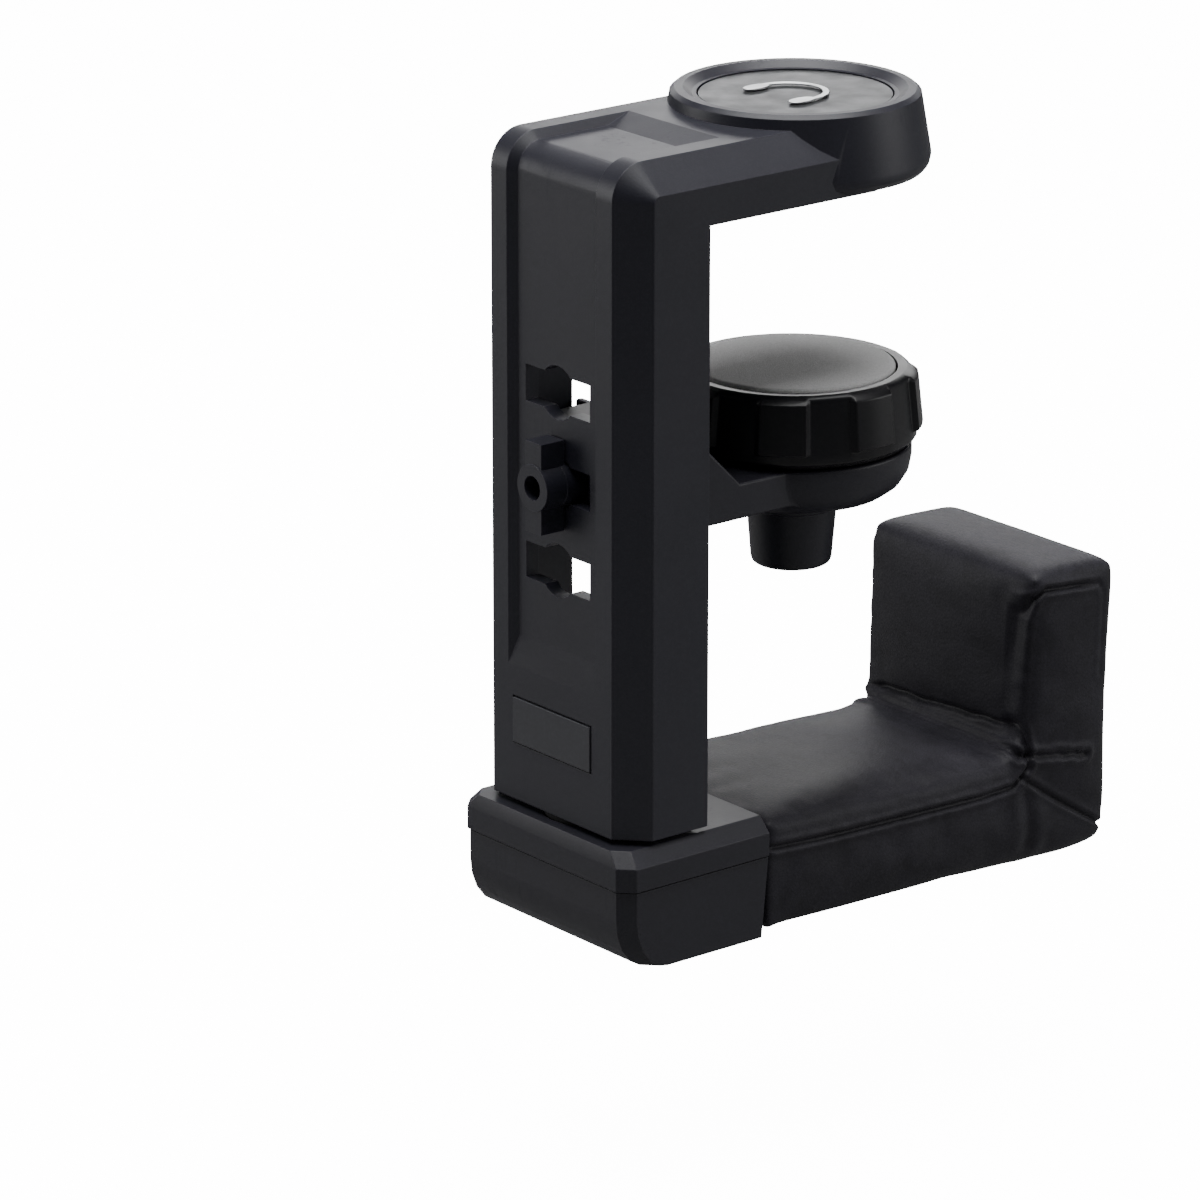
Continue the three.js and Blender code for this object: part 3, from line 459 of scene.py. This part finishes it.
def pad_blank():
    """The sharp-edged L that the cover is remeshed from."""
    left, right = PAD_LOW.x + 0.1 * MM, PAD_HIGH.x + PAD_FULL
    low, seat, top = PAD_LOW.z + 0.3 * MM, PAD_SEAT - 0.5 * MM, PAD_HIGH.z + 2 * PAD_FULL
    inner, half = PAD_INNER + 0.3 * MM, PAD_HIGH.y + PAD_FULL
    outline = [(left, low), (right, low), (right, top), (inner, top), (inner, seat), (left, seat)]
    bm = bmesh.new()
    sides = [[bm.verts.new((x, y, z)) for x, z in outline] for y in (-half, half)]
    bm.faces.new(sides[0])
    bm.faces.new(sides[1][::-1])
    for i in range(len(outline)):
        j = (i + 1) % len(outline)
        bm.faces.new((sides[0][i], sides[1][i], sides[1][j], sides[0][j]))
    bmesh.ops.recalc_face_normals(bm, faces=bm.faces)
    mesh = bpy.data.meshes.new("leather_pad")
    bm.to_mesh(mesh)
    bm.free()
    return mesh


def weights(piece, name, values):
    group = piece.vertex_groups.new(name=name)
    for index, value in enumerate(values):
        if value > 0.001:
            group.add([index], float(value), "REPLACE")


def side_points(co):
    """(x, z) of each vertex on the pattern, and how far it faces out of the arm's side.

    On the -Y side only, the upright seam is drawn in towards the inner face.
    """
    flat = co[:, [0, 2]].copy()
    front_half = (co[:, 1] < 0) * (co[:, 0] < PAD_INNER + 9 * MM)
    height = np.clip((co[:, 2] - PAD_SEAT) / (8 * MM), 0, 1)
    flat[:, 0] += 2.6 * MM * front_half * height * np.clip((PAD_HIGH.z - co[:, 2]) / (9 * MM), 0, 1)
    on_side = np.clip((np.abs(co[:, 1]) - (PAD_HIGH.y - 7 * MM)) / (2.5 * MM), 0, 1)
    return flat, on_side


def inflate(piece):
    """Blows the cover up like a cloth bag that is held at its seams and at the collar."""
    co = points_of(piece.data)
    flat, side = side_points(co)
    seam = np.minimum(distance_to(flat, SIDE_SEAM), distance_to(flat, MITRE_SEAM))
    held = np.clip(1.4 - seam / (1.6 * MM), 0, 1) * side
    held = np.maximum(held, np.clip((PAD_LOW.x + 3.5 * MM - co[:, 0]) / (2 * MM), 0, 1))
    corner = np.hypot(co[:, 0] - PAD_INNER, co[:, 2] - PAD_SEAT)
    held = np.maximum(held, np.clip(1.3 - corner / (2.5 * MM), 0, 1))
    weights(piece, "held", held)
    cloth = add_modifier(piece, "CLOTH")
    settings = cloth.settings
    settings.quality = 6
    settings.mass = 0.2
    settings.tension_stiffness = 12
    settings.compression_stiffness = 8
    settings.bending_stiffness = 2
    settings.use_pressure = True
    settings.uniform_pressure_force = 4
    settings.shrink_min = -0.003  # a little spare leather
    settings.vertex_group_mass = "held"
    settings.effector_weights.gravity = 0
    cloth.collision_settings.use_collision = False
    scene = bpy.context.scene
    for step in range(1, CLOTH_STEPS + 1):
        scene.frame_set(step)
    blown = points_of(piece.evaluated_get(bpy.context.evaluated_depsgraph_get()).data)
    move = blown - co
    length = np.linalg.norm(move, axis=1)
    capped = PAD_CAP * np.tanh(length / PAD_CAP)
    move *= (capped / np.maximum(length, 1e-9))[:, None]
    move[:, 2] *= np.where(co[:, 2] < PAD_LOW.z + 2 * MM, UNDERSIDE_GIVE, 1)
    piece.modifiers.clear()
    piece.data.vertices.foreach_set("co", (co + move).ravel())
    scene.frame_set(1)


def ripple(points, scale, seed):
    """Smooth noise in -1..1 at each point, as an array."""
    offset = Vector((seed, seed * 1.7, -seed))
    return np.array([noise.noise(Vector(p) * scale + offset) for p in points])


def sew(piece):
    """Presses the seams and creases into the cover."""
    co, normal = points_of(piece.data), points_of(piece.data, "normal")
    flat, side = side_points(co)
    wave = ripple(co, 160, 3.1)
    fine = ripple(co, 420, 8.4)
    slow = ripple(co, 70, 1.3)

    def groove(distance, depth, width):
        return -depth * np.exp(-((distance / width) ** 2))

    def welt(distance, height, away, width):
        return height * np.exp(-(((distance - away) / width) ** 2))

    seam = distance_to(flat, SIDE_SEAM)
    # The seam along the outer edge is pulled less tight than the one in front.
    tight = np.clip((PAD_HIGH.x - 2 * MM - co[:, 0]) / (9 * MM), 0.12, 1)
    lift = tight * side * groove(seam, 1.0 * MM, 0.5 * MM)
    lift += tight * side * welt(seam, 0.3 * MM, 1.3 * MM, 0.65 * MM) * (1 + 0.5 * fine)
    mitre = distance_to(flat, MITRE_SEAM)
    lift += side * (groove(mitre, 0.9 * MM, 0.45 * MM) + welt(mitre, 0.15 * MM, 1.1 * MM, 0.6 * MM))
    jitter = flat + np.stack([wave, fine], 1) * 0.5 * MM
    crease = distance_to(jitter, CORNER_CREASE)
    lift += side * (groove(crease, 0.7 * MM, 0.6 * MM) + welt(crease, 0.4 * MM, 1.6 * MM, 0.9 * MM))
    fold = distance_to(jitter, LOWER_FOLD)
    lift += side * (groove(fold, 0.6 * MM, 1.5 * MM) + welt(fold, 0.15 * MM, 3.4 * MM, 1.6 * MM))

    # The leather bunches into a roll across the inside of the corner.
    across = (PAD_HIGH.y - co[:, 1]) / (2 * PAD_HIGH.y)
    face = np.clip(2 - np.abs(co[:, 0] - PAD_INNER) / (1.5 * MM), 0, 1)
    rise = co[:, 2] - PAD_SEAT
    crest = (3.0 + 2.6 * across + 0.7 * wave) * MM
    open_width = np.clip((PAD_HIGH.y - 1.5 * MM - np.abs(co[:, 1])) / (4 * MM), 0, 1)
    on_upright = face * (rise > 0.6 * MM) * open_width
    lift += on_upright * (groove(rise - crest, 1.0 * MM, 0.6 * MM) + welt(rise, 0.5 * MM, 1.5 * MM, 0.9 * MM))
    run = PAD_INNER - co[:, 0]
    on_seat = (np.abs(rise) < 3 * MM) * (run > 0) * (normal[:, 2] > 0.4) * open_width
    second = (4.6 + 2.2 * (1 - across) + 1.0 * wave) * MM
    lift += on_seat * (groove(run - second, 0.1 * MM, 1.2 * MM) + welt(run, 0.12 * MM, 2.2 * MM, 1.3 * MM))
    corner = np.hypot(run, rise)
    lift += groove(corner, 1.1 * MM, 1.3 * MM)

    # Slack leather: shallow drag lines near the seams and a gentle unevenness on the panels.
    near = np.exp(-seam / (4.5 * MM)) * side + np.exp(-corner / (9 * MM))
    drag = ripple(co * np.array([1.0, 0.35, 0.7]), 330, 5.5)
    lift += 0.06 * MM * near * drag + 0.08 * MM * slow
    end = np.clip((co[:, 0] - PAD_LOW.x) / (2 * MM), 0, 1)
    piece.data.vertices.foreach_set("co", (co + normal * (lift * end)[:, None]).ravel())
    piece.data.update()


def leather_pad():
    piece = new_object("leather_pad", pad_blank(), LEATHER)
    add_modifier(piece, "REMESH", mode="VOXEL", voxel_size=PAD_VOXEL)
    apply_modifiers(piece)
    co = points_of(piece.data)
    edge = np.hypot(np.abs(co[:, 1]) - PAD_HIGH.y, co[:, 2] - PAD_SEAT)
    broad = np.clip(1.6 - edge / (6 * MM), 0, 1) * (co[:, 0] < PAD_INNER - 1 * MM)
    heel = np.hypot(co[:, 0] - PAD_HIGH.x, co[:, 2] - PAD_LOW.z)
    broad = np.maximum(broad, np.clip(1.5 - heel / (7 * MM), 0, 1))
    weights(piece, "broad", broad)
    start = np.clip((co[:, 0] - PAD_LOW.x - 1.5 * MM) / (2 * MM), 0, 1)
    weights(piece, "free", start)
    add_modifier(piece, "SMOOTH", factor=0.5, iterations=13, vertex_group="free")
    add_modifier(piece, "SMOOTH", factor=0.5, iterations=16, vertex_group="broad")
    apply_modifiers(piece)
    piece.vertex_groups.clear()
    inflate(piece)
    piece.vertex_groups.clear()
    clear_of_collar = np.clip((points_of(piece.data)[:, 0] - PAD_LOW.x) / (4 * MM), 0, 1)
    weights(piece, "settle", clear_of_collar)
    add_modifier(piece, "SMOOTH", factor=0.5, iterations=3, vertex_group="settle")
    apply_modifiers(piece)
    piece.vertex_groups.clear()
    add_modifier(piece, "SUBSURF", levels=2, render_levels=2)
    apply_modifiers(piece)
    sew(piece)
    co = points_of(piece.data)
    co[:, 2] -= PAD_DROOP * (co[:, 0] - PAD_LOW.x)
    co[:, 0] += PAD_DROOP * np.maximum(co[:, 2] - PAD_SEAT, 0)
    piece.data.vertices.foreach_set("co", co.ravel())
    piece.data.update()
    piece.data.shade_smooth()
    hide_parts("leather_cover")
    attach(piece, "hanger")


leather_pad()


# ---- floor, lights and camera ----

floor_mesh = bpy.data.meshes.new("studio_floor")
bm = bmesh.new()
sweep = [(-3.0, 0.0), (1.2, 0.0)]
for step in range(1, 9):
    angle = math.radians(90 * step / 8)
    sweep.append((1.2 + 0.9 * math.sin(angle), 0.9 * (1 - math.cos(angle))))
sweep.append((2.1, 4.0))
FLOOR_Z = CAD_LOW.z - 0.05
FLOOR_GLOW = 14
rows = [
    [bm.verts.new((along, side, FLOOR_Z + up)) for side in (-4.5, 4.5)] for along, up in sweep
]
for low, high in zip(rows, rows[1:]):
    bm.faces.new((low[0], high[0], high[1], low[1]))
bm.to_mesh(floor_mesh)
bm.free()
# Pale paper that glows white when the camera sees it directly, from any view. To all other
# rays it is a darker grey without glow, so that it sends little light up at the object.
backdrop = Shader("pale_paper", Roughness=0.9)
direct = backdrop.add("ShaderNodeLightPath").outputs["Is Camera Ray"]
paper = backdrop.mix(backdrop.noise(3, 3), (0.88, 0.88, 0.88), (0.92, 0.92, 0.92))
backdrop.set("Base Color", backdrop.mix(direct, (0.22, 0.22, 0.22), paper))
backdrop.bsdf.inputs["Emission Color"].default_value = (1, 1, 1, 1)
backdrop.set("Emission Strength", backdrop.math("MULTIPLY", direct, FLOOR_GLOW))
floor = new_object("studio_floor", floor_mesh, backdrop.material)
floor.rotation_euler.z = math.radians(50)
floor.data.shade_smooth()


def softbox(name, place, aim, size, power):
    light = bpy.data.lights.new(name, "AREA")
    light.shape = "RECTANGLE"
    light.size, light.size_y = size
    light.energy = power
    lamp = bpy.data.objects.new(name, light)
    lamp.location = place
    lamp.rotation_euler = (Vector(aim) - Vector(place)).to_track_quat("-Z", "Y").to_euler()
    bpy.context.scene.collection.objects.link(lamp)


middle = (CAD_LOW + CAD_HIGH) / 2
softbox("top_softbox", middle + Vector((0.0, 0.05, 1.2)), middle, (1.1, 1.1), 25)
softbox("back_softbox", middle + Vector((1.15, 1.4, 0.58)), middle, (1.7, 0.3), 10)
softbox("left_softbox", middle + Vector((-1.0, 1.1, 0.1)), middle, (0.7, 1.0), 7)
softbox("right_softbox", middle + Vector((1.2, -1.0, 0.4)), middle, (0.6, 0.9), 6)

# Soft room light: dim from the camera's side, brighter from above and beyond.
world = bpy.data.worlds.new("studio")
world.use_nodes = True
room = world.node_tree
background = room.nodes["Background"]
background.inputs["Color"].default_value = (1, 1, 1, 1)
bright_side = room.nodes.new("ShaderNodeVectorMath")
bright_side.operation = "DOT_PRODUCT"
room.links.new(room.nodes.new("ShaderNodeTexCoord").outputs["Generated"], bright_side.inputs[0])
bright_side.inputs[1].default_value = Vector((0.45, 0.5, 0.74))
fade = room.nodes.new("ShaderNodeMapRange")
fade.inputs["From Min"].default_value = -0.5
fade.inputs["From Max"].default_value = 0.9
fade.inputs["To Min"].default_value = 0.05
fade.inputs["To Max"].default_value = 0.27
room.links.new(bright_side.outputs["Value"], fade.inputs["Value"])
room.links.new(fade.outputs["Result"], background.inputs["Strength"])
bpy.context.scene.world = world

camera_data = bpy.data.cameras.new("camera")
camera_data.lens = 197.0
camera_data.sensor_width = 36.0
camera_data.clip_start = 0.05
camera_data.clip_end = 20
camera = bpy.data.objects.new("camera", camera_data)
bpy.context.scene.collection.objects.link(camera)
TURN, DIP = math.radians(51.14), math.radians(18.13)
look = Vector((math.cos(TURN) * math.cos(DIP), math.sin(TURN) * math.cos(DIP), -math.sin(DIP)))
camera.location = (-0.83903, -0.97858, 0.33158)
camera.rotation_mode = "QUATERNION"
camera.rotation_quaternion = look.to_track_quat("-Z", "Y")
bpy.context.scene.camera = camera
